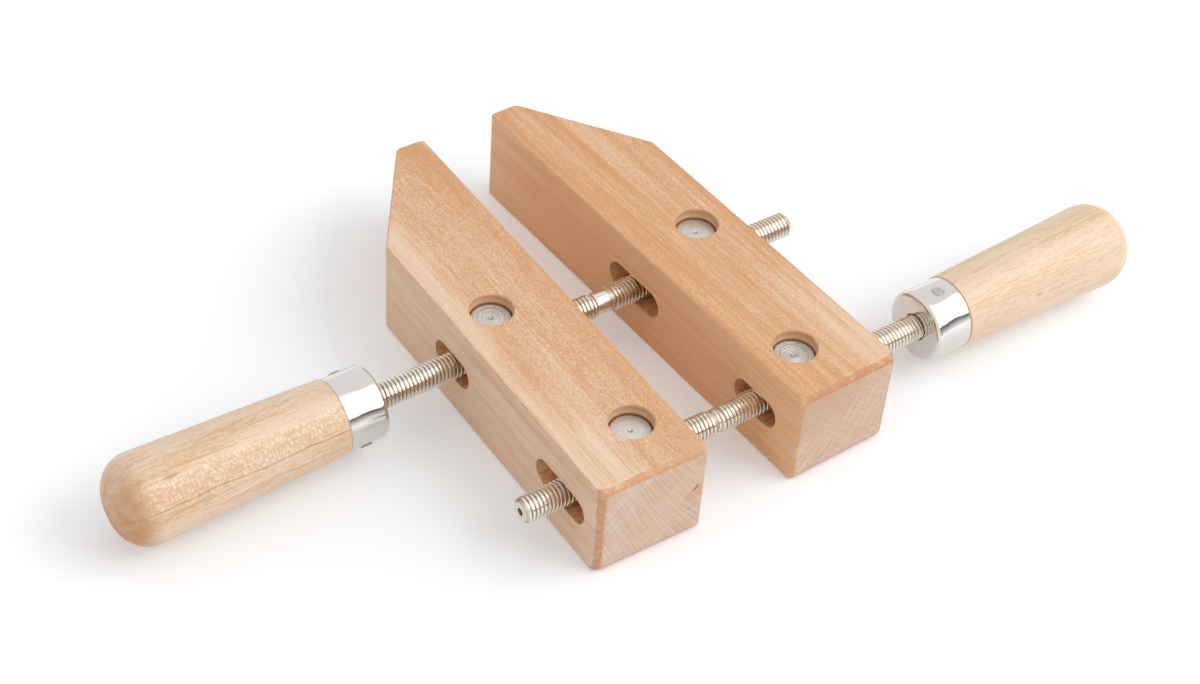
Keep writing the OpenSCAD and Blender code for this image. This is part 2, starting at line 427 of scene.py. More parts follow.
@dataclass(frozen=True)
class JawMaple:
    """Oiled maple of one jaw."""

    name: str
    grain: Grain
    pale: Colour
    deep: Colour
    fleck: float
    streak: float
    seed: float
    pale_to: float
    burnished: Colour
    end_tone: float
    end_shade: float
    knot: Spot | None = None
    end_pale: Colour = (0.73, 0.58, 0.47)
    end_deep: Colour = (0.58, 0.37, 0.245)
    rubbed: Colour = (0.90, 0.55, 0.30)
    well_brown: Colour = (0.66, 0.37, 0.185)
    well_pale: Colour = (0.78, 0.57, 0.39)
    slot_brown_and_painted_light: Colour = (0.88, 0.43, 0.175)
    char_and_gap_shade: Colour = (0.34, 0.15, 0.06)
    knot_dark: Colour = (0.20, 0.11, 0.06)
    pale_edge: Span = (16.0, 34.0)
    pale_fade: float = 50.0
    worn_depth: Span = (0.03, 0.22)
    back_worn: float = 1.1
    slot_depth: Span = (0.2, 0.8)
    slot_fade: float = 1.0
    well_fade: float = 0.5
    well_edge: Span = (0.05, 0.25)
    rim_depth: Span = (0.5, 0.9)
    band_depth: Span = (1.5, 2.1)
    gap_shade_depth: Span = (3.0, 3.45)
    relief: float = 0.05
    fibres: Layer = Layer(2.8, 0.09, 2.8, 3.0, 0.7)
    streaks: Layer = Layer(0.34, 0.010, 0.34, 3.0, 0.6)
    tones: Layer = Layer(0.05, 0.022, 0.05, 1.0)
    dashes: Layer = Layer(3.4, 1.15, 0.2, 2.0, 0.6)
    lines: Layer = Layer(1.1, 0.008, 1.1)
    scuffs: Layer = Layer(0.6, 0.3, 0.6, 3.0)
    chars: Layer = Layer(0.5, 0.9, 0.9, 3.0, 0.65)

    def depth(self, sizes: JawSizes, place: Place) -> Socket:
        """Depth of a point below the nearest outer face of the jaw.

        Args:
            sizes: The jaw's sizes.
            place: The point, from the clamping face, the back end and the underside.

        Returns:
            The depth in millimetres, about 0 on every outer face.
        """
        across, back, up = place.across, place.along, place.up
        lean = sizes.taper_angle
        taper = (sizes.width - across) * math.cos(lean) + (sizes.knee - back) * math.sin(lean)
        return across.least(sizes.width - across, up, sizes.height - up, back, sizes.length - back, taper)

    def slots(self, sizes: JawSizes, wells: list[Spot], depth: Socket, place: Place) -> Socket:
        """Finds the spindle slots.

        Args:
            sizes: The jaw's sizes.
            wells: Places of the nut wells, across and from the back end.
            depth: Depth below the outer faces.
            place: A point of the jaw.

        Returns:
            1 inside the slots, 0 on the outer faces and in the wells.
        """
        mask = depth.rise(*self.slot_depth)
        near: Socket | float = 0.0
        for well_across, well_back in wells:
            side, run = place.across - well_across, place.along - well_back
            near = abs(run).fall(sizes.slot_mouth, sizes.slot_mouth + self.slot_fade) + near
            mask = mask * side.hypot(run).rise(sizes.well_radius, sizes.well_radius + self.well_fade)
        return mask * near

    def end_grain(self, place: Place, rings: Socket) -> Socket:
        """Colour of the sawn ends, with ring lines, rays and saw marks.

        Args:
            place: A point of the jaw.
            rings: Lines of late wood.

        Returns:
            The colour.
        """
        graph, across, up = place.graph, place.across, place.up
        slant = across * 0.66 + up * 0.75
        other = across * 0.75 - up * 0.66
        bent = other + across * across * 0.012
        saw = graph.noise(graph.vector(slant * 0.05, bent * 1.5, self.seed), 2.0, 0.6)
        hatch = graph.noise(graph.vector(slant * 1.6, other * 0.07, self.seed + 2), 2.0, 0.6)
        fuzz = graph.noise(graph.vector(across * 2.2, up * 2.2, self.seed + 5), 3.0, 0.65)
        cloud = graph.noise(graph.vector(across * 0.09, up * 0.09, self.seed + 9), 2.0)
        shade = up.rise(6.0, 30.0) * across.fall(8.0, 36.0) * self.end_shade
        tone = self.end_tone + saw * 0.75 + hatch * 0.45 + fuzz * 0.40 + cloud * 0.26 + rings * 0.20 + shade
        wood = graph.mix(tone.rise(-0.1, 1.0), self.end_pale, self.end_deep)
        if self.knot is None:
            return wood
        side, rise = across - self.knot[0], up - self.knot[1]
        halo = side.hypot(rise + 1.5) + fuzz * 2.5
        wood = graph.mix(halo.fall(1.0, 4.2) * 0.55, wood, self.burnished)
        lean = side * 0.8 + rise * 0.6
        turned = rise * 0.8 - side * 0.6
        spot = (lean * 3.0).hypot(turned) + fuzz * 0.5
        return graph.mix(spot.fall(0.7, 1.6) * 0.85, wood, self.knot_dark)

    def material(self, axes: Axes, sizes: JawSizes, wells: list[Spot]) -> bpy.types.Material:
        """Makes the finish.

        Args:
            axes: The jaw's corner and directions.
            sizes: The jaw's sizes.
            wells: Places of its nut wells, across and from the back end.

        Returns:
            The material.
        """
        graph = Graph.material(self.name)
        place = axes.place(graph)
        across, back = place.across, place.along
        _, face_along, face_up = axes.facing(graph)
        depth = self.depth(sizes, place)
        rings = self.grain.rings(place)
        fibre = place.noise(self.fibres, along=self.seed)
        streak = place.noise(self.streaks, along=self.seed)
        tone = place.noise(self.tones, up=self.seed)
        dash = place.noise(self.dashes, up=self.seed)
        line = place.noise(self.lines, up=self.seed).rise(0.08, 0.36)
        scuff = place.noise(self.scuffs)
        char = place.noise(self.chars, up=self.seed)
        # Long grain: a pale zone along the outer edge, then rings, fibres and flecks
        level = face_up.rise(0.5, 0.95)
        edge = (across + tone * 12 + streak * 6).rise(*self.pale_edge)
        edge = edge * back.fall(self.pale_to, self.pale_to + self.pale_fade)
        zone = edge * (0.42 + level * 0.58)
        flecks = (dash.rise(0.0, 0.3) - dash.fall(-0.4, 0.0) * 0.6) * level * (1 - zone * 0.7)
        # level * 0.10 keeps the side faces a tenth paler than the tops: painted light for the light the
        # sides lack
        mixed = 0.62 + level * 0.10 - zone * 0.60 + streak * self.streak + fibre * 0.55
        mixed = mixed + rings * (0.40 + level * 0.20) + flecks * self.fleck
        mixed = mixed + line * (0.14 + level * 0.06 + zone * 0.10)
        wood = graph.mix(mixed.rise(-0.15, 1.15), self.pale, self.deep)
        clamping = across.fall(0.5, 2.0) * (1 - level)
        wood = graph.mix(clamping * 0.42, wood, self.rubbed)
        # Sawn ends
        ends = face_along.rise(0.80, 0.95)
        wood = graph.mix(ends, wood, self.end_grain(place, rings))
        # Edges worn by use, most of all at the back
        at_back = back.fall(sizes.back_round, sizes.back_round + self.back_worn)
        worn = (depth + scuff * 0.12).rise(*self.worn_depth) * (0.52 + scuff * 0.9 + at_back * 0.36)
        worn = worn * (0.4 + across.rise(0.4, 2.2) * 0.6)
        wood = graph.mix(worn.least(0.98), wood, self.burnished)
        # Nut wells: brown below the rim, then a pale band and painted shade in the gap round the nut
        for well_across, well_back in wells:
            outside = (across - well_across).hypot(back - well_back) - sizes.well_radius
            inside = outside.fall(*self.well_edge) * depth.rise(*self.rim_depth)
            wood = graph.mix(inside * (0.78 + dash * 0.8), wood, self.well_brown)
            band = inside * depth.rise(*self.band_depth)
            wood = graph.mix(band * (0.55 + scuff * 0.5), wood, self.well_pale)
            # Painted shade: a dark band low on the well wall, where it meets the nut
            wood = graph.mix(inside * depth.rise(*self.gap_shade_depth) * 0.85, wood, self.char_and_gap_shade)
        # Spindle slots: orange-brown wood painted brighter, as painted light for the light their walls
        # lack, and scorched in patches
        slots = self.slots(sizes, wells, depth, place)
        slot_wood = graph.mix(char.rise(-0.1, 0.35) * 0.72, self.slot_brown_and_painted_light, self.char_and_gap_shade)
        wood = graph.mix(slots * (0.85 + fibre * 0.3), wood, slot_wood)
        height = fibre * 0.4 - flecks * 0.25 + rings * 0.2 + ends * scuff * 0.6
        return graph.surface(
            Base_Color=wood,
            Roughness=0.48 + ends * 0.15 + slots * 0.2 + fibre * 0.08 + flecks * 0.03,
            Specular_IOR_Level=0.4,
            Normal=graph.bump(height, self.relief),
        )


@dataclass(frozen=True)
class HandleMaple:
    """Lacquered maple of one turned handle."""

    name: str
    grain: Grain
    pale: Colour
    deep: Colour
    lace: float
    line_at: float
    line: float
    seed: float
    end_soil_and_shade: float
    mark: Spot | None = None
    cell_pale: Colour = (0.95, 0.80, 0.64)
    cell_edge: Colour = (0.68, 0.39, 0.20)
    end_deep: Colour = (0.56, 0.265, 0.11)
    line_dark: Colour = (0.50, 0.22, 0.09)
    mark_length: float = 3.2
    mark_brown: Colour = (0.36, 0.26, 0.09)
    soil_and_shade_from: float = 11.0
    soil_and_shade_full: float = 1.5
    relief: float = 0.04
    fibres: Layer = Layer(2.6, 0.11, 2.6, 3.0, 0.7)
    streaks: Layer = Layer(0.28, 0.012, 0.28, 3.0, 0.55)
    clouds: Layer = Layer(0.10, 0.045, 0.10)
    cells: Layer = Layer(0.45, 0.55, 0.45, 3.0, 0.65)
    specks: Layer = Layer(2.4, 0.5, 2.4, 2.0, 0.65)
    lines: Layer = Layer(0.9, 0.012, 0.9)

    def cell_walls(self, place: Place, cell: Socket) -> Socket:
        """Net of cells in the lace of the rays.

        Args:
            place: A point of the handle.
            cell: Noise that bends the net.

        Returns:
            The distance from the nearest wall of the net.
        """
        run = place.along * 0.85 + cell * 0.8
        rise = place.up * 0.42 + cell * 0.6 + self.seed
        spot = place.graph.vector(place.across * 0.3, run, rise)
        feature = {"feature": "DISTANCE_TO_EDGE"}
        return place.graph.out("ShaderNodeTexVoronoi", feature, {"Vector": spot, "Scale": 1.0})

    def material(self, axes: Axes, length: float) -> bpy.types.Material:
        """Makes the finish.

        Args:
            axes: The middle of the ferrule's back edge, with across square to the rays.
            length: Length of the handle.

        Returns:
            The material.
        """
        graph = Graph.material(self.name)
        place = axes.place(graph)
        across, along, up = place.across, place.along, place.up
        face_across, face_along, _ = axes.facing(graph)
        rings = self.grain.rings(place)
        fibre = place.noise(self.fibres, along=self.seed)
        streak = place.noise(self.streaks, along=self.seed)
        cloud = place.noise(self.clouds, up=self.seed)
        cell = place.noise(self.cells, up=self.seed)
        speck = place.noise(self.specks, up=self.seed)
        line = place.noise(self.lines, up=self.seed).rise(0.06, 0.40)
        side = across.rise(-2.0, 2.0)
        tone = 0.31 + streak * 0.50 + cloud * 0.36 + fibre * 0.95 + rings * 0.60 + speck * 0.85
        wood = graph.mix((tone + line * 0.34).rise(-0.15, 1.15), self.pale, self.deep)
        # Lace where the turned face cuts the rays
        walls = self.cell_walls(place, cell)
        band = (face_across + cell * 0.06).rise(0.925, 0.975) * side * self.lace
        wood = graph.mix(walls.rise(0.04, 0.36) * (0.55 + cell * 1.5) * band * 0.62, wood, self.cell_pale)
        wood = graph.mix(walls.fall(0.0, 0.19) * (0.55 - cell) * band * 0.9, wood, self.cell_edge)
        # One dark line of grain along the handle
        wander = graph.noise(graph.vector(along * 0.06, self.seed, 0.0), 3.0) * 0.9
        grain_line = abs(up - self.line_at + wander).fall(0.05, 0.34) * side * self.line
        broken = graph.noise(graph.vector(along * 0.2, self.seed + 3, 0.0), 2.0).rise(-0.4, 0.3)
        wood = graph.mix(grain_line * (0.3 + broken * 0.7), wood, self.line_dark)
        # Darker toward the end: grip soil and painted shade, the shade heavier on the underside
        worn = along.rise(length - self.soil_and_shade_from, length - self.soil_and_shade_full)
        worn = worn * (0.72 + cloud * 0.5 + streak * 0.5 - up * 0.05)
        wood = graph.mix(worn.math("MAXIMUM", 0.0).least(1.0) * self.end_soil_and_shade, wood, self.end_deep)
        if self.mark is not None:
            run, rise = (along - self.mark[0]) / self.mark_length, up - self.mark[1]
            spot = (run * run + rise * rise * 4.5).root() + speck * 0.5
            wood = graph.mix(spot.fall(0.5, 1.1) * across.rise(0.0, 2.0) * 0.7, wood, self.mark_brown)
        height = fibre * 0.3 + band * walls * 0.5 - grain_line * 0.5
        return graph.surface(
            Base_Color=wood,
            Roughness=0.42 + fibre * 0.06 + face_along.rise(0.8, 0.95) * 0.08,
            Specular_IOR_Level=0.4,
            Normal=graph.bump(height, self.relief),
            Coat_Weight=0.12,
            Coat_Roughness=0.3,
        )


@dataclass(frozen=True)
class Nickel:
    """Bright nickel on the drawn ferrules."""

    name: str
    plate: Colour = (0.69, 0.655, 0.62)
    tarnish: Colour = (0.46, 0.36, 0.27)
    dent: float = 1.1
    relief: float = 0.10
    hazes: Layer = Layer(0.25, 0.25, 0.25, 3.0)
    brushing: Layer = Layer(0.12, 9.0, 0.12)
    dents: Layer = Layer(0.15, 0.18, 0.15, 0.0)
    pits: Layer = Layer(0.9, 0.9, 0.9)

    def material(self, axes: Axes, length: float) -> bpy.types.Material:
        """Makes the finish.

        Args:
            axes: The middle of the ferrule's front face, along its length.
            length: Length of the ferrule.

        Returns:
            The material.
        """
        graph = Graph.material(self.name)
        place = axes.place(graph)
        haze = place.noise(self.hazes)
        brush = place.noise(self.brushing)
        edge = place.along.rise(length - 0.7, length - 0.1)
        plate = graph.mix(edge * 0.6 + haze.rise(0.2, 0.9) * 0.12, self.plate, self.tarnish)
        height = place.noise(self.dents) * self.dent + place.noise(self.pits) * 0.04 + brush * 0.004
        return graph.surface(
            Base_Color=plate,
            Metallic=1.0,
            Roughness=0.11 + haze * 0.03 + brush * 0.02 + edge * 0.2,
            Normal=graph.bump(height, self.relief),
        )


@dataclass(frozen=True)
class ThreadSteel:
    """Plated thread with brown grease left in its grooves, and painted shade in the centring hole of its
    free end.
    """

    name: str
    plate: Colour = (0.77, 0.72, 0.64)
    grease_and_shade: Colour = (0.35, 0.25, 0.16)
    relief: float = 0.008
    groove: Span = (0.25, 0.90)
    neck_fade: float = 0.2
    hole_shade_fade: float = 0.1
    patches: Layer = Layer(0.3, 0.22, 0.3, 3.0)
    scratches: Layer = Layer(1.5, 6.0, 1.5)

    def material(
        self, axes: Axes, root: float, crest: float, neck: float, hole: float
    ) -> bpy.types.Material:
        """Makes the finish.

        Args:
            axes: The middle of the plain neck, with along on the axis.
            root: Radius at the bottom of the grooves.
            crest: Radius of the thread crests.
            neck: Half the length of the neck.
            hole: Radius of the centring hole.

        Returns:
            The material.
        """
        graph = Graph.material(self.name)
        place = axes.place(graph)
        radius = place.off_axis()
        patch = place.noise(self.patches)
        scratch = place.noise(self.scratches)
        height = (radius - root) / (crest - root)
        face_along = axes.facing(graph)[1]
        groove = height.fall(*self.groove) * abs(place.along).rise(neck - self.neck_fade, neck)
        # The centring hole takes the grease colour too: painted shade in the hole
        groove = groove * face_along.fall(0.9, 0.98) + radius.fall(hole - self.hole_shade_fade, hole)
        grease_and_shade = groove * (0.54 + patch * 0.6) + patch.rise(0.1, 0.6) * 0.22
        return graph.surface(
            Base_Color=graph.mix(grease_and_shade, self.plate, self.grease_and_shade),
            Metallic=1.0,
            Roughness=0.15 + groove * 0.25 + patch * 0.05 + scratch * 0.04,
            Normal=graph.bump(scratch, self.relief),
        )


@dataclass(frozen=True)
class TurnedSteel:
    """Bare steel with rings from the lathe tool."""

    name: str
    steel: Colour = (0.68, 0.655, 0.625)
    stain: Colour = (0.34, 0.28, 0.225)
    rim: float = 6.35
    turning: float = 0.42
    relief: float = 0.12
    rim_darkening: Span = (0.84, 0.97)
    centre_darkening: Span = (0.09, 0.15)
    stains: Layer = Layer(0.34, 0.34, 0.34, 3.0)

    def material(self, axes: Axes, seed: float) -> bpy.types.Material:
        """Makes the finish.

        Args:
            axes: The middle of the turned face, with along on the axis of turning.
            seed: Moves the stains.

        Returns:
            The material.
        """
        graph = Graph.material(self.name)
        place = axes.place(graph)
        radius = place.off_axis()
        ripple = graph.noise(graph.vector(place.across * 0.3, place.up * 0.3, seed), 2.0) * 0.35
        tool = graph.noise(graph.vector((radius + ripple) * 2.2, seed, 0.0), 2.0, 0.6)
        stain = place.noise(self.stains, up=seed)
        share = radius / self.rim
        # Random stains, and darker toward the rim and at the centre: on a nut that is painted shade where
        # it meets the bore wall and in its centre dimple; on the rivet it is a darker ring and centre
        darkening = stain.rise(0.05, 0.75) * 0.40 + share.rise(*self.rim_darkening) * 0.75
        darkening = darkening + share.fall(*self.centre_darkening) * 0.7
        return graph.surface(
            Base_Color=graph.mix(darkening + tool * self.turning, self.steel, self.stain),
            Metallic=1.0,
            Roughness=0.42 + tool * 0.08 + stain * 0.08,
            Normal=graph.bump(tool, self.relief * self.turning),
        )


def dress(name: str, material: bpy.types.Material) -> None:
    """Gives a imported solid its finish.

    Args:
        name: Name of the solid's node.
        material: The finish.
    """
    data = frame["nodes"][name].data
    data.materials.clear()
    data.materials.append(material)
    log.info("%s: %s", name, material.name)


def quarter(steps: int) -> list[float]:
    """Angles from 0 to a quarter turn in equal steps."""
    return [math.pi / 2 * step / steps for step in range(steps + 1)]


def add_object(name: str, data: bpy.types.ID) -> bpy.types.Object:
    """Adds an object to the scene.

    Args:
        name: Name of the object.
        data: Its mesh, camera or light.

    Returns:
        The object.
    """
    made = bpy.data.objects.new(name, data)
    bpy.context.scene.collection.objects.link(made)
    return made


def join_rings(mesh: bmesh.types.BMesh, first: Ring, second: Ring) -> None:
    """Closes the wall between two rings of as many points.

    Args:
        mesh: The mesh that they are in.
        first: One ring.
        second: The other ring.
    """
    count = len(first)
    for step in range(count):
        after = (step + 1) % count
        mesh.faces.new((first[step], first[after], second[after], second[step]))


def smooth(mesh: bmesh.types.BMesh, sharp: float) -> None:
    """Shades a mesh smooth, with its sharp edges kept.

    Args:
        mesh: The mesh.
        sharp: Angle in degrees from which an edge stays sharp.
    """
    for face in mesh.faces:
        face.smooth = True
    for edge in mesh.edges:
        edge.smooth = edge.calc_face_angle(0.0) < math.radians(sharp)


class Lathe:
    """Meshes made of rings about an axis parallel to X."""

    def __init__(self, centre: Vector, segments: int) -> None:
        """Starts an empty mesh.

        Args:
            centre: A point on the axis, in metres.
            segments: Number of points in a ring.
        """
        self.centre = centre
        self.segments = segments
        self.mesh = bmesh.new()

    def point(self, x: float, radius: float, step: int) -> bmesh.types.BMVert:
        """Adds a point.

        Args:
            x: Place along the axis.
            radius: Distance from the axis.
            step: Which of the ring's directions it lies in.

        Returns:
            The point.
        """
        turn = 2 * math.pi * step / self.segments
        place = Vector((x, radius * math.cos(turn), radius * math.sin(turn)))
        return self.mesh.verts.new(place * MM + Vector((0, self.centre.y, self.centre.z)))

    def ring(self, x: float, radius: float) -> Ring:
        """Adds a ring of points at one place along the axis."""
        return [self.point(x, radius, step) for step in range(self.segments)]

    def join(self, first: Ring, second: Ring) -> None:
        """Closes the wall between two rings."""
        join_rings(self.mesh, first, second)

    def sweep(self, profile: list[Spot], way: int) -> list[Ring]:
        """Turns a profile.

        Args:
            profile: Points as distance along the axis and radius.
            way: 1 where the distances run along +X, -1 where they run along -X.

        Returns:
            The rings that were made.
        """
        rings = [self.ring(x * way, radius) for x, radius in profile]
        for first, second in zip(rings, rings[1:]):
            self.join(first, second)
        return rings

    def cap(self, ring: Ring, x: float) -> None:
        """Closes a ring with a fan to a point on the axis.

        Args:
            ring: The ring.
            x: Place of the point.
        """
        tip = self.point(x, 0.0, 0)
        for step in range(self.segments):
            self.mesh.faces.new((ring[step], ring[(step + 1) % self.segments], tip))

    def finish(self, name: str, material: bpy.types.Material, sharp: float) -> bpy.types.Object:
        """Makes the object.

        Args:
            name: Name of the piece.
            material: Its finish.
            sharp: Angle in degrees from which an edge stays sharp.

        Returns:
            The object.
        """
        bmesh.ops.recalc_face_normals(self.mesh, faces=self.mesh.faces)
        smooth(self.mesh, sharp)
        data = bpy.data.meshes.new(name)
        self.mesh.to_mesh(data)
        self.mesh.free()
        data.materials.append(material)
        return add_object(name, data)


@dataclass(frozen=True)
class Thread:
    """A screw thread, swept as one strip along its helix.

    The form's points are shares of the pitch and of the height from root to crest. A negative
    pitch runs along -X.
    """

    pitch: float = 25.4 / 20
    crest: float = 3.95
    root: float = 3.23
    runout: float = 0.6
    form: tuple[Spot, ...] = (
        (0.00, 0.88),
        (0.06, 1.00),
        (0.44, 1.00),
        (0.50, 0.88),
        (0.66, 0.10),
        (0.71, 0.00),
        (0.79, 0.00),
        (0.84, 0.10),
    )

    def cut(self, lathe: Lathe, start: Ring, first: float, last: float, hand: Hand) -> Ring:
        """Adds the thread between two places, joined to a ring at each end.

        Args:
            lathe: The mesh that it goes into.
            start: The ring that it starts from.
            first: Place along the axis where it starts.
            last: Place where it ends.
            hand: Left or right hand.

        Returns:
            The ring that it ends in.
        """
        count = lathe.segments
        turn = hand.value if self.pitch > 0 else -hand.value
        steps = int((last - first) / self.pitch * count) - count
        faces = lathe.mesh.faces
        fade = self.runout * count
        strip = []
        for i in range(steps + 1):
            height = min(1.0, i / fade, (steps - i) / fade)
            base = first + self.pitch * i / count
            strip.append([
                lathe.point(
                    base + self.pitch * share,
                    self.root + (self.crest - self.root) * rise * height,
                    turn * i,
                )
                for share, rise in self.form
            ])
        for i in range(steps):
            for k in range(len(self.form) - 1):
                faces.new((strip[i][k], strip[i + 1][k], strip[i + 1][k + 1], strip[i][k + 1]))
            if i + 1 + count <= steps:
                faces.new((strip[i][-1], strip[i + 1][-1], strip[i + 1 + count][0], strip[i + count][0]))
        end = lathe.ring(last, self.root)
        for j in range(count):
            here, after = (turn * j) % count, (turn * (j + 1)) % count
            faces.new((start[here], start[after], strip[j + 1][0], strip[j][0]))
            i = steps - count + j
            here, after = (turn * i) % count, (turn * (i + 1)) % count
            faces.new((strip[i][-1], strip[i + 1][-1], end[after], end[here]))
        faces.new([start[0], *strip[0], strip[count][0]])
        faces.new([strip[steps - count][-1], *strip[steps], end[(turn * steps) % count]])
        return end


@dataclass
class Jaw:
    """One wooden jaw, shaped from a block and bored for its nuts and spindles.

    The slots' cutters run slot_run widths of the jaw past the wells, and sharp is in degrees.
    """

    side: Side
    finish: JawMaple
    sizes: JawSizes = JawSizes()
    corner_steps: int = 6
    round_steps: int = 6
    well_segments: int = 96
    slot_segments: int = 48
    slot_run: float = 1.2
    overrun: float = 3.0
    sharp: float = 28.0

    def __post_init__(self) -> None:
        """Finds the jaw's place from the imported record."""
        self.word = self.side.name.lower()
        mounts = {mount["name"]: mount for mount in frame["record"]["mounts"]}
        face = mounts[f"{self.word}_clamp_face"]
        across = -Vector(face["axis"]).normalized()
        along = Vector((-across.y, across.x, 0)) * self.side.value
        node = frame["nodes"][f"{self.word}_jaw"]
        back = min((Vector(v.co) for v in node.data.vertices), key=lambda place: place.dot(along))
        corner = Vector(face["pos_m"])
        corner += along * (back - corner).dot(along)
        corner.z = 0
        self.axes = Axes(corner, across, along, Vector((0, 0, 1)))

    def wells(self) -> list[Spot]:
        """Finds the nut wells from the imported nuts.

        Returns:
            Their places across and from the back end, in millimetres.
        """
        axes = self.axes
        places = []
        for nut in ("middle", "end"):
            low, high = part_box(f"{self.word}_{nut}_nut")
            offset = (low + high) / 2 - axes.origin
            places.append(tuple(offset.dot(way) * PER_METRE for way in (axes.across, axes.along)))
        return places

    def point(self, mesh: bmesh.types.BMesh, across: float, back: float, up: float) -> bmesh.types.BMVert:
        """Adds a point given in the jaw's own directions.

        Args:
            mesh: The mesh that it goes into.
            across: Distance from the clamping face.
            back: Distance from the back end.
            up: Height.

        Returns:
            The point.
        """
        axes = self.axes
        place = axes.across * across + axes.along * back + axes.up * up
        return mesh.verts.new(axes.origin + place * MM)

    def outline(self, long_inset: float, back_inset: float) -> list[Spot]:
        """Outline of the jaw with its sides moved in.

        Args:
            long_inset: How far the long sides and the nose move in.
            back_inset: How far the back end moves in.

        Returns:
            Points as distance from the clamping face and from the back end.
        """
        size = self.sizes
        lean = size.taper_angle
        sides = [
            (Vector((0, -1)), -back_inset),
            (Vector((1, 0)), size.width - long_inset),
            (
                Vector((math.cos(lean), math.sin(lean))),
                size.width * math.cos(lean) + size.knee * math.sin(lean) - long_inset,
            ),
            (Vector((0, 1)), size.length - long_inset),
            (Vector((-1, 0)), -long_inset),
        ]
        rounds = [size.corner_round, size.back_round, size.knee_round, size.nose_round, size.corner_round]
        points = []
        for i, radius in enumerate(rounds):
            (first, a), (second, b) = sides[i - 1], sides[i]
            a, b = a - radius, b - radius
            twist = first.x * second.y - first.y * second.x
            centre = Vector(((a * second.y - b * first.y) / twist, (b * first.x - a * second.x) / twist))
            for step in range(self.corner_steps + 1):
                normal = first.slerp(second, step / self.corner_steps)
                points.append(tuple(centre + normal * radius))
        return points

    def block(self) -> bmesh.types.BMesh:
        """Shapes the block with every outer edge rounded over.

        Returns:
            The block's skin.
        """
        size = self.sizes
        depths = {
            radius * (1 - math.cos(turn))
            for radius in (size.edge_round, size.back_round)
            for turn in quarter(self.round_steps)
        }

        def inset(radius: float, depth: float) -> float:
            """How far a rounded edge has moved in at a depth below the face."""
            left = max(0.0, radius - depth)
            return radius - math.sqrt(radius * radius - left * left)

        layers = [(depth, depth) for depth in sorted(depths)]
        layers += [(depth, size.height - depth) for depth in sorted(depths, reverse=True)]
        mesh = bmesh.new()
        rings = []
        for depth, up in layers:
            outline = self.outline(inset(size.edge_round, depth), inset(size.back_round, depth))
            rings.append([self.point(mesh, across, back, up) for across, back in outline])
        self.close(mesh, rings)
        return mesh

    def well_cutter(self, well: Spot) -> bmesh.types.BMesh:
        """Shapes a cutter for a nut well with eased rims.

        Args:
            well: The well's place across and from the back end.

        Returns:
            The cutter's skin.
        """
        size = self.sizes
        wide = size.well_radius + 2 * size.rim_ease
        profile = [
            (-size.rim_ease, wide),
            (size.rim_ease, size.well_radius),
            (size.height - size.rim_ease, size.well_radius),
            (size.height + size.rim_ease, wide),
        ]
        mesh = bmesh.new()
        rings = []
        for up, radius in profile:
            turns = (2 * math.pi * step / self.well_segments for step in range(self.well_segments))
            rings.append([
                self.point(mesh, well[0] + radius * math.cos(turn), well[1] + radius * math.sin(turn), up)
                for turn in turns
            ])
        self.close(mesh, rings)
        return mesh

    def slot_cutter(self, well: Spot, way: int) -> bmesh.types.BMesh:
        """Shapes a cutter for half of a flared spindle slot.

        Args:
            well: Place of the nut well that it starts from.
            way: 1 toward the outer side of the jaw, -1 toward the clamping face.

        Returns:
            The cutter's skin.
        """
        size = self.sizes
        reach = size.width * self.slot_run
        radius = size.slot_height / 2
        spread = reach * math.tan(math.radians(size.slot_flare))
        mesh = bmesh.new()
        rings = []
        for run, half in ((-self.overrun, size.slot_waist), (reach, spread)):
            ring = []
            for step in range(self.slot_segments):
                turn = 2 * math.pi * (step + 0.5) / self.slot_segments
                side = math.copysign(half, math.cos(turn)) + radius * math.cos(turn)
                up = size.height / 2 + radius * math.sin(turn)
                ring.append(self.point(mesh, well[0] + way * run, well[1] + side, up))
            rings.append(ring)
        self.close(mesh, rings)
        return mesh

    def close(self, mesh: bmesh.types.BMesh, rings: list[Ring]) -> None:
        """Joins rings into a closed skin.

        Args:
            mesh: The mesh that they are in.
            rings: The rings in order.
        """
        for low, high in zip(rings, rings[1:]):
            join_rings(mesh, low, high)
        mesh.faces.new(rings[0])
        mesh.faces.new(rings[-1])

    def solid(self, name: str, mesh: bmesh.types.BMesh) -> bpy.types.Object:
        """Turns a closed skin into an object.

        Args:
            name: Name of the object.
            mesh: The skin.

        Returns:
            The object.
        """
        bmesh.ops.recalc_face_normals(mesh, faces=mesh.faces)
        data = bpy.data.meshes.new(name)
        mesh.to_mesh(data)
        mesh.free()
        return add_object(name, data)

    def carve(self) -> bpy.types.Mesh:
        """Bores the block for the nuts and cuts the spindle slots.

        Returns:
            The finished mesh.
        """
        block = self.solid("block", self.block())
        cutters = []
        for well in self.wells():
            cutters.append(self.solid("well", self.well_cutter(well)))
            for way in (-1, 1):
                cutters.append(self.solid("slot", self.slot_cutter(well, way)))
        for cutter in cutters:
            bore = block.modifiers.new("bore", "BOOLEAN")
            bore.operation = "DIFFERENCE"
            bore.solver = "EXACT"
            bore.object = cutter
        ready = block.evaluated_get(bpy.context.evaluated_depsgraph_get())
        data = bpy.data.meshes.new_from_object(ready)
        for used in (block, *cutters):
            bpy.data.objects.remove(used)
        return data

    def build(self) -> None:
        """Carves the jaw and gives it its wood."""
        data = self.carve()
        data.name = f"{self.word}_maple_jaw"
        mesh = bmesh.new()
        mesh.from_mesh(data)
        smooth(mesh, self.sharp)
        mesh.to_mesh(data)
        mesh.free()
        data.materials.clear()
        data.materials.append(self.finish.material(self.axes, self.sizes, self.wells()))
        piece = add_object(data.name, data)
        normals = piece.modifiers.new("normals", "WEIGHTED_NORMAL")
        normals.keep_sharp = True
        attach(piece, f"{self.word}_jaw")
        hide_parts(f"{self.word}_jaw")
        log.info("%s: %d faces", piece.name, len(data.polygons))


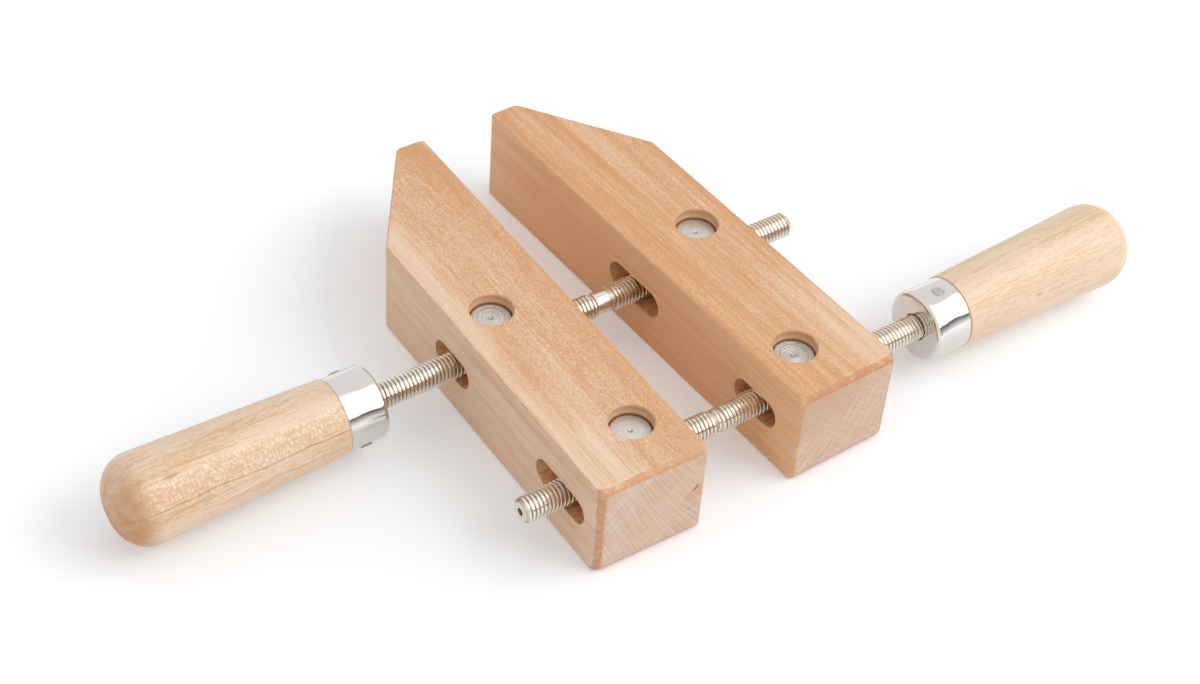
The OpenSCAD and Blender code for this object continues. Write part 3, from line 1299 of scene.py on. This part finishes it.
@dataclass
class CrossNut:
    """One round nut in its well, with a seed for its stains and the depth of its tool rings."""

    name: str
    seed: float
    turning: float

    def build(self) -> None:
        """Gives the nut its turned finish."""
        low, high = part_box(self.name)
        top = Vector(((low.x + high.x) / 2, (low.y + high.y) / 2, high.z))
        axes = Axes(top, Vector((1, 0, 0)), Vector((0, 0, 1)), Vector((0, 1, 0)))
        steel = TurnedSteel(f"{self.name}_steel", turning=self.turning)
        dress(self.name, steel.material(axes, self.seed))


@dataclass
class Screw:
    """One spindle with its ferrule, handle and rivet."""

    word: str
    handle_wood: HandleMaple
    ray_turn: float
    neck_at: float
    neck_length: float
    neck_radius: float = 3.5
    neck_ease: float = 0.25
    end_face: float = 2.9
    centre_hole: float = 1.2
    centre_taper: float = 0.9
    centre_depth: float = 2.4
    spare_turns: int = 2
    tang_radius: float = 3.3
    thread_segments: int = 40
    thread_sharp: float = 24.0
    smooth_segments: int = 128
    ferrule_round: float = 1.6
    ferrule_wall: float = 1.0
    ferrule_lip: float = 0.3
    ferrule_rows: tuple[float, ...] = (0.4, 0.7)
    ferrule_sharp: float = 35.0
    hole_gap: float = 0.25
    hole_ease: float = 0.15
    handle_neck: float = 11.35
    handle_radius: float = 13.3
    handle_round: float = 9.5
    handle_crown: float = 0.6
    handle_rows: tuple[float, ...] = (0.25, 0.5, 0.75)
    handle_sharp: float = 50.0
    shoulder: float = 0.35
    arc_steps: int = 28
    ease_steps: int = 6
    ferrule_dent: float = 1.1
    rivet_steel: Colour = (0.53, 0.50, 0.475)
    rivet_stain: Colour = (0.20, 0.17, 0.15)
    rivet_seed: float = 7.0

    def __post_init__(self) -> None:
        """Reads the places of the spindle, ferrule and handle from the frame."""
        self.body = f"{self.word}_screw"
        low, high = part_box(f"{self.word}_spindle")
        self.centre = (low + high) / 2
        self.out = 1 if self.centre.x > 0 else -1
        self.free = (low.x if self.out > 0 else high.x) * PER_METRE
        self.tang = (high.x if self.out > 0 else low.x) * PER_METRE
        low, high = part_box(f"{self.word}_ferrule")
        ends = sorted((abs(low.x), abs(high.x)))
        self.ferrule_front, self.ferrule_back = (end * PER_METRE for end in ends)
        self.ferrule_radius = (high.z - low.z) / 2 * PER_METRE
        low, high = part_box(f"{self.word}_handle")
        self.handle_end = max(abs(low.x), abs(high.x)) * PER_METRE

    def axes(self, along: float, turn: float = 0.0) -> Axes:
        """Places axes on the spindle, with along toward the handle.

        Args:
            along: Distance of their origin from the clamp's middle, toward the handle.
            turn: Their turn about the spindle, in degrees.

        Returns:
            The axes.
        """
        angle = math.radians(turn)
        origin = Vector((self.out * along * MM, self.centre.y, self.centre.z))
        across = Vector((0, -math.cos(angle), math.sin(angle)))
        return Axes(origin, across, Vector((self.out, 0, 0)), Vector((0, math.sin(angle), math.cos(angle))))

    def place(self, piece: bpy.types.Object, node: str, slot: str) -> None:
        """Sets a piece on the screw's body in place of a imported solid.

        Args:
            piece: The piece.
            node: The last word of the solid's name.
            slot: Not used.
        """
        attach(piece, self.body)
        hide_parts(f"{self.word}_{node}")
        log.info("%s: %d faces", piece.name, len(piece.data.polygons))

    def build_spindle(self) -> None:
        """Cuts both threads, with the plain neck between them."""
        out = self.out
        thread = Thread(pitch=out * Thread.pitch)
        lathe = Lathe(self.centre, self.thread_segments)
        first = self.free - self.spare_turns * thread.pitch
        neck, half = self.neck_at * out, self.neck_length / 2
        inside = self.ferrule_front + 2 * self.ferrule_wall
        near, far = (Hand.LEFT, Hand.RIGHT) if out > 0 else (Hand.RIGHT, Hand.LEFT)
        start = lathe.ring(first, thread.root)
        end = thread.cut(lathe, start, first, (neck - half) * out, near)
        collar = [
            (neck - half + self.neck_ease, self.neck_radius),
            (neck + half - self.neck_ease, self.neck_radius),
            (neck + half, thread.root),
        ]
        rings = lathe.sweep(collar, out)
        lathe.join(end, rings[0])
        end = thread.cut(lathe, rings[-1], (neck + half) * out, inside * out, far)
        tang = [(inside, self.tang_radius), (abs(self.tang), self.tang_radius)]
        rings = lathe.sweep(tang, out)
        lathe.join(end, rings[0])
        lathe.cap(rings[-1], self.tang)
        self.face_off(lathe)
        finish = ThreadSteel(f"{self.word}_thread_steel")
        steel = finish.material(self.axes(neck), thread.root, thread.crest, half, self.centre_hole)
        piece = lathe.finish(f"{self.word}_threaded_spindle", steel, self.thread_sharp)
        self.place(piece, "spindle", "spindle_steel")

    def face_off(self, lathe: Lathe) -> None:
        """Saws the thread off at the free end, chamfers it and centres the sawn face.

        Args:
            lathe: The spindle's mesh.
        """
        mesh = lathe.mesh
        plane = Vector((self.free * MM, 0, 0))
        everything = [*mesh.verts, *mesh.edges, *mesh.faces]
        bmesh.ops.bisect_plane(
            mesh, geom=everything, plane_co=plane, plane_no=Vector((-self.out, 0, 0)), clear_outer=True
        )
        middle = Vector((0, self.centre.y, self.centre.z))
        for vert in mesh.verts:
            allowed = self.end_face + (vert.co.x * PER_METRE - self.free) * self.out
            spoke = Vector((0, vert.co.y, vert.co.z)) - middle
            if spoke.length > allowed * MM:
                place = middle + spoke.normalized() * allowed * MM
                vert.co = Vector((vert.co.x, place.y, place.z))
        rim = [edge for edge in mesh.edges if edge.is_boundary]
        hole = self.centre_hole
        for radius, depth in ((hole, 0.0), (hole * self.centre_taper, self.centre_depth)):
            grown = bmesh.ops.extrude_edge_only(mesh, edges=rim)["geom"]
            rim = [item for item in grown if isinstance(item, bmesh.types.BMEdge)]
            for vert in (item for item in grown if isinstance(item, bmesh.types.BMVert)):
                spoke = Vector((0, vert.co.y, vert.co.z)) - middle
                place = middle + spoke.normalized() * min(radius * MM, spoke.length)
                vert.co = Vector(((self.free + self.out * depth) * MM, place.y, place.z))
        bmesh.ops.contextual_create(mesh, geom=rim)

    def build_ferrule(self) -> None:
        """Spins the ferrule as a thin cup."""
        r = self.ferrule_radius
        front, back = self.ferrule_front, self.ferrule_back
        lip = self.ferrule_lip
        bend = self.ferrule_round
        hole = Thread.crest + self.hole_gap
        ease = self.hole_ease
        profile = [(front + self.ferrule_wall, hole), (front + ease, hole), (front, hole + ease)]
        for turn in quarter(self.arc_steps):
            profile.append((front + bend * (1 - math.cos(turn)), r - bend * (1 - math.sin(turn))))
        profile += [(front + (back - front) * share, r) for share in self.ferrule_rows]
        for turn in quarter(self.ease_steps):
            profile.append((back - lip * (1 - math.sin(turn)), r - lip * (1 - math.cos(turn))))
        inner = r - self.ferrule_wall
        profile += [(back, inner), (front + self.ferrule_wall, inner)]
        lathe = Lathe(self.centre, self.smooth_segments)
        rings = lathe.sweep(profile, self.out)
        lathe.join(rings[-1], rings[0])
        finish = Nickel(f"{self.word}_nickel", dent=self.ferrule_dent)
        nickel = finish.material(self.axes(front), back - front)
        piece = lathe.finish(f"{self.word}_spun_ferrule", nickel, self.ferrule_sharp)
        self.place(piece, "ferrule", "ferrule_nickel")

    def build_handle(self) -> None:
        """Turns the handle, with its tenon inside the ferrule."""
        back, end = self.ferrule_back, self.handle_end
        tenon = self.ferrule_radius - self.ferrule_wall
        start = self.ferrule_front + self.ferrule_wall
        bend = self.handle_round
        round_at = end - self.handle_crown - bend
        profile = [(start, tenon), (back, tenon)]
        for turn in quarter(self.ease_steps):
            radius = self.handle_neck - self.shoulder * (1 - math.sin(turn))
            profile.append((back + self.shoulder * (1 - math.cos(turn)), radius))
        for share in self.handle_rows:
            at = back + self.shoulder + (round_at - back - self.shoulder) * share
            profile.append((at, self.handle_neck + (self.handle_radius - self.handle_neck) * share))
        flat = self.handle_radius - bend
        for turn in quarter(self.arc_steps):
            profile.append((round_at + bend * math.sin(turn), flat + bend * math.cos(turn)))
        for step in range(1, self.ease_steps):
            left = 1 - step / self.ease_steps
            profile.append((end - self.handle_crown * left ** 2, flat * left))
        lathe = Lathe(self.centre, self.smooth_segments)
        rings = lathe.sweep(profile, self.out)
        lathe.cap(rings[0], start * self.out)
        lathe.cap(rings[-1], end * self.out)
        wood = self.handle_wood.material(self.axes(back, self.ray_turn), end - back)
        piece = lathe.finish(f"{self.word}_turned_handle", wood, self.handle_sharp)
        self.place(piece, "handle", "handle_wood")

    def build_rivet(self) -> None:
        """Gives the rivet its finish, with a darker rim."""
        name = f"{self.word}_rivet"
        low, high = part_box(name)
        size = high - low
        tilt = math.atan2(size.y - size.x, size.z - size.x)
        along = Vector((0, math.sin(tilt), math.cos(tilt)))
        up = Vector((0, math.cos(tilt), -math.sin(tilt)))
        axes = Axes((low + high) / 2, Vector((1, 0, 0)), along, up)
        rim = size.x / 2 * PER_METRE
        steel = TurnedSteel(f"{name}_steel", self.rivet_steel, self.rivet_stain, rim)
        dress(name, steel.material(axes, self.rivet_seed))

    def build(self) -> None:
        """Builds the spindle, ferrule, handle and rivet."""
        self.build_spindle()
        self.build_ferrule()
        self.build_handle()
        self.build_rivet()


@dataclass(frozen=True)
class Studio:
    """Pale floor, soft light and the camera.

    The camera's distance and target are millimetres, and the sizes of floor, light and cards are metres.
    """

    azimuth: float = -37.84
    elevation: float = 43.19
    roll: float = 4.5
    distance: float = 691.4
    target: tuple[float, float, float] = (0.84, 3.13, 0.0)
    focal_pixels: float = 2293.2
    centre_pixels: Spot = (-12.6, -4.2)
    sensor: float = 36.0
    near_clip: float = 0.01
    floor_size: float = 12.0
    floor_white: Colour = (0.885, 0.906, 0.932)
    floor_lift: float = 0.36
    near_shade_lift: float = 0.38
    shade_reach: Span = (0.07, 0.20)
    lift_stretch: float = 2.5
    sky: float = 0.75
    key_power: float = 10.0
    key_from: tuple[float, float, float] = (0.54, -0.50, 0.68)
    key_distance: float = 1.5
    key_size: tuple[float, float] = (1.2, 1.0)
    card_radius: float = 1.6
    card_from: float = -0.3
    card_to: float = 2.4
    card_fade: float = 16.0
    card_steps: int = 24

    def build_camera(self) -> None:
        """Sets the camera at the photograph's place."""
        turn, rise, roll = (math.radians(x) for x in (self.azimuth, self.elevation, self.roll))
        back = Vector((math.sin(turn) * math.cos(rise), -math.cos(turn) * math.cos(rise), math.sin(rise)))
        level = Vector((math.cos(turn), math.sin(turn), 0))
        up = back.cross(level)
        right = level * math.cos(roll) + up * math.sin(roll)
        up = back.cross(right)
        data = bpy.data.cameras.new("camera")
        data.sensor_width = self.sensor
        data.lens = self.focal_pixels / PHOTO_WIDTH * self.sensor
        data.shift_x = -self.centre_pixels[0] / PHOTO_WIDTH
        data.shift_y = self.centre_pixels[1] / PHOTO_WIDTH
        data.clip_start = self.near_clip
        camera = add_object("camera", data)
        place = (Vector(self.target) + back * self.distance) * MM
        camera.matrix_world = Matrix.Translation(place) @ Matrix((right, up, back)).transposed().to_4x4()
        bpy.context.scene.camera = camera

    def seen(self, graph: Graph) -> Socket:
        """Tells looked-at rays from scattered light.

        Args:
            graph: The nodes of a material or world.

        Returns:
            1 for rays from the camera, a mirror or glass, and 0 for other light.
        """
        rays = graph.node("ShaderNodeLightPath")
        result = Socket(graph, rays.outputs["Is Camera Ray"])
        for name in ("Is Glossy Ray", "Is Transmission Ray"):
            result = result.math("MAXIMUM", Socket(graph, rays.outputs[name]))
        return result

    def place(self, graph: Graph, *names: str) -> list[Socket]:
        """Reads coordinates of a surface point.

        Args:
            graph: The material's nodes.
            names: Letters of the axes.

        Returns:
            The coordinates in metres, in the order of the letters.
        """
        point = {0: graph.out("ShaderNodeTexCoord", output="Object")}
        split = graph.node("ShaderNodeSeparateXYZ", None, point)
        return [Socket(graph, split.outputs[name]) for name in names]

    def build_floor(self) -> None:
        """Lays a white floor that keeps the clamp's shadow."""
        half = self.floor_size / 2
        data = bpy.data.meshes.new("floor")
        corners = [(-half, -half, 0), (half, -half, 0), (half, half, 0), (-half, half, 0)]
        data.from_pydata(corners, [], [(0, 1, 2, 3)])
        floor = add_object("floor", data)
        graph = Graph.material("floor_paper")
        paper = graph.out("ShaderNodeBsdfDiffuse", None, {"Color": self.floor_white})
        x, y = self.place(graph, "X", "Y")
        # The glow that the camera and mirrors see is weaker near the clamp: painted shade round it, rising
        # to the full glow further out
        away = (x * x / self.lift_stretch + y * y).root().rise(*self.shade_reach)
        lift = graph.mix(away, (self.near_shade_lift,) * 3, WHITE)
        glow = graph.out("ShaderNodeEmission", None, {"Color": lift, "Strength": self.floor_lift})
        lifted = graph.out("ShaderNodeAddShader", None, {0: paper, 1: glow})
        both = graph.out("ShaderNodeMixShader", None, {0: self.seen(graph), 1: paper, 2: lifted})
        graph.node("ShaderNodeOutputMaterial", None, {"Surface": both})
        data.materials.append(graph.owner)

    def build_light(self) -> None:
        """Hangs one large soft box and a pale sky."""
        world = bpy.data.worlds.new("studio")
        bpy.context.scene.world = world
        graph = Graph(world)
        white = graph.out("ShaderNodeBackground", None, {"Color": WHITE, "Strength": 1.0})
        sky = graph.out("ShaderNodeBackground", None, {"Color": WHITE, "Strength": self.sky})
        both = graph.out("ShaderNodeMixShader", None, {0: self.seen(graph), 1: sky, 2: white})
        graph.node("ShaderNodeOutputWorld", None, {"Surface": both})
        data = bpy.data.lights.new("key", "AREA")
        data.shape = "RECTANGLE"
        data.size, data.size_y = self.key_size
        data.energy = self.key_power
        key = add_object("key", data)
        direction = Vector(self.key_from).normalized()
        key.location = direction * self.key_distance
        key.rotation_mode = "QUATERNION"
        key.rotation_quaternion = direction.to_track_quat("Z", "Y")
        key.visible_glossy = False

    def build_card(self, name: str, low: float, high: float, glow: float, edge: float) -> None:
        """Bends a card about the X axis that only mirrors see.

        Args:
            name: Name of the card.
            low: Angle of its lower edge, in degrees from -Y toward +Z.
            high: Angle of its upper edge.
            glow: How bright it is.
            edge: Share of the glow at its upper edge.
        """
        corners = []
        for step in range(self.card_steps + 1):
            turn = math.radians(low + (high - low) * step / self.card_steps)
            y, z = -self.card_radius * math.cos(turn), self.card_radius * math.sin(turn)
            corners += [(self.card_from, y, z), (self.card_to, y, z)]
        data = bpy.data.meshes.new(name)
        strips = [(i, i + 1, i + 3, i + 2) for i in range(0, 2 * self.card_steps, 2)]
        data.from_pydata(corners, [], strips)
        graph = Graph.material(f"{name}_glow")
        y, z = self.place(graph, "Y", "Z")
        turn = graph.math("ARCTAN2", z, y * -1.0)
        fade = turn.fall(math.radians(high - self.card_fade), math.radians(high))
        colour = graph.mix(fade, (edge,) * 3, WHITE)
        shine = graph.out("ShaderNodeEmission", None, {"Color": colour, "Strength": glow})
        graph.node("ShaderNodeOutputMaterial", None, {"Surface": shine})
        data.materials.append(graph.owner)
        card = add_object(name, data)
        for ray in ("camera", "diffuse", "shadow", "transmission", "volume_scatter"):
            setattr(card, f"visible_{ray}", False)

    def build(self) -> None:
        """Builds the camera, the floor, the light and the two cards."""
        self.build_camera()
        self.build_floor()
        self.build_light()
        self.build_card("soft_box_card", low=22.0, high=97.0, glow=2.3, edge=0.42)
        self.build_card("dark_card", low=6.0, high=21.5, glow=0.75, edge=0.08)
        bpy.context.scene.view_settings.view_transform = "Standard"
        log.info("studio: floor, light and camera")


LEFT_WOOD = JawMaple(
    name="left_jaw_maple",
    grain=Grain(pith_across=-30.0, pith_up=-85.0, ring_gap=2.6, waver=2.5),
    pale=(0.845, 0.645, 0.47),
    deep=(0.65, 0.315, 0.133),
    fleck=0.45,
    streak=0.24,
    seed=11.0,
    pale_to=110.0,
    burnished=(0.60, 0.31, 0.16),
    end_tone=0.46,
    end_shade=0.05,
    knot=(3.2, 17.9),
)
RIGHT_WOOD = JawMaple(
    name="right_jaw_maple",
    grain=Grain(pith_across=80.0, pith_up=-40.0, ring_gap=3.1, waver=2.0),
    pale=(0.84, 0.635, 0.455),
    deep=(0.65, 0.312, 0.126),
    fleck=0.34,
    streak=0.60,
    seed=31.0,
    pale_to=15.0,
    burnished=(0.54, 0.235, 0.10),
    end_tone=0.50,
    end_shade=0.40,
)
MIDDLE_HANDLE_WOOD = HandleMaple(
    name="middle_handle_maple",
    grain=Grain(pith_across=6.0, pith_up=-45.0, ring_gap=4.2, waver=2.5),
    pale=(0.815, 0.64, 0.47),
    deep=(0.66, 0.375, 0.185),
    lace=1.0,
    line_at=-3.65,
    line=0.85,
    seed=3.0,
    end_soil_and_shade=1.0,
    mark=(52.3, 4.1),
)
END_HANDLE_WOOD = HandleMaple(
    name="end_handle_maple",
    grain=Grain(pith_across=-30.0, pith_up=-30.0, ring_gap=5.0, waver=3.5),
    pale=(0.81, 0.635, 0.46),
    deep=(0.68, 0.42, 0.23),
    lace=0.12,
    line_at=2.0,
    line=0.15,
    seed=21.0,
    end_soil_and_shade=0.2,
    mark=(26.0, 7.6),
    mark_length=1.3,
    mark_brown=(0.60, 0.28, 0.12),
)


def main() -> None:
    """Builds the clamp's looks and the studio."""
    logging.basicConfig(level=logging.INFO, format="%(name)s %(message)s")
    Studio().build()
    Jaw(Side.LEFT, LEFT_WOOD).build()
    Jaw(Side.RIGHT, RIGHT_WOOD).build()
    CrossNut("left_middle_nut", seed=0.0, turning=1.3).build()
    CrossNut("left_end_nut", seed=3.7, turning=0.35).build()
    CrossNut("right_middle_nut", seed=7.4, turning=0.3).build()
    CrossNut("right_end_nut", seed=11.1, turning=1.8).build()
    Screw("middle", MIDDLE_HANDLE_WOOD, ray_turn=41.0, neck_at=2.0, neck_length=4.8).build()
    Screw("end", END_HANDLE_WOOD, ray_turn=-20.0, neck_at=1.4, neck_length=1.0, ferrule_dent=2.2).build()


if __name__ == "__main__":
    main()
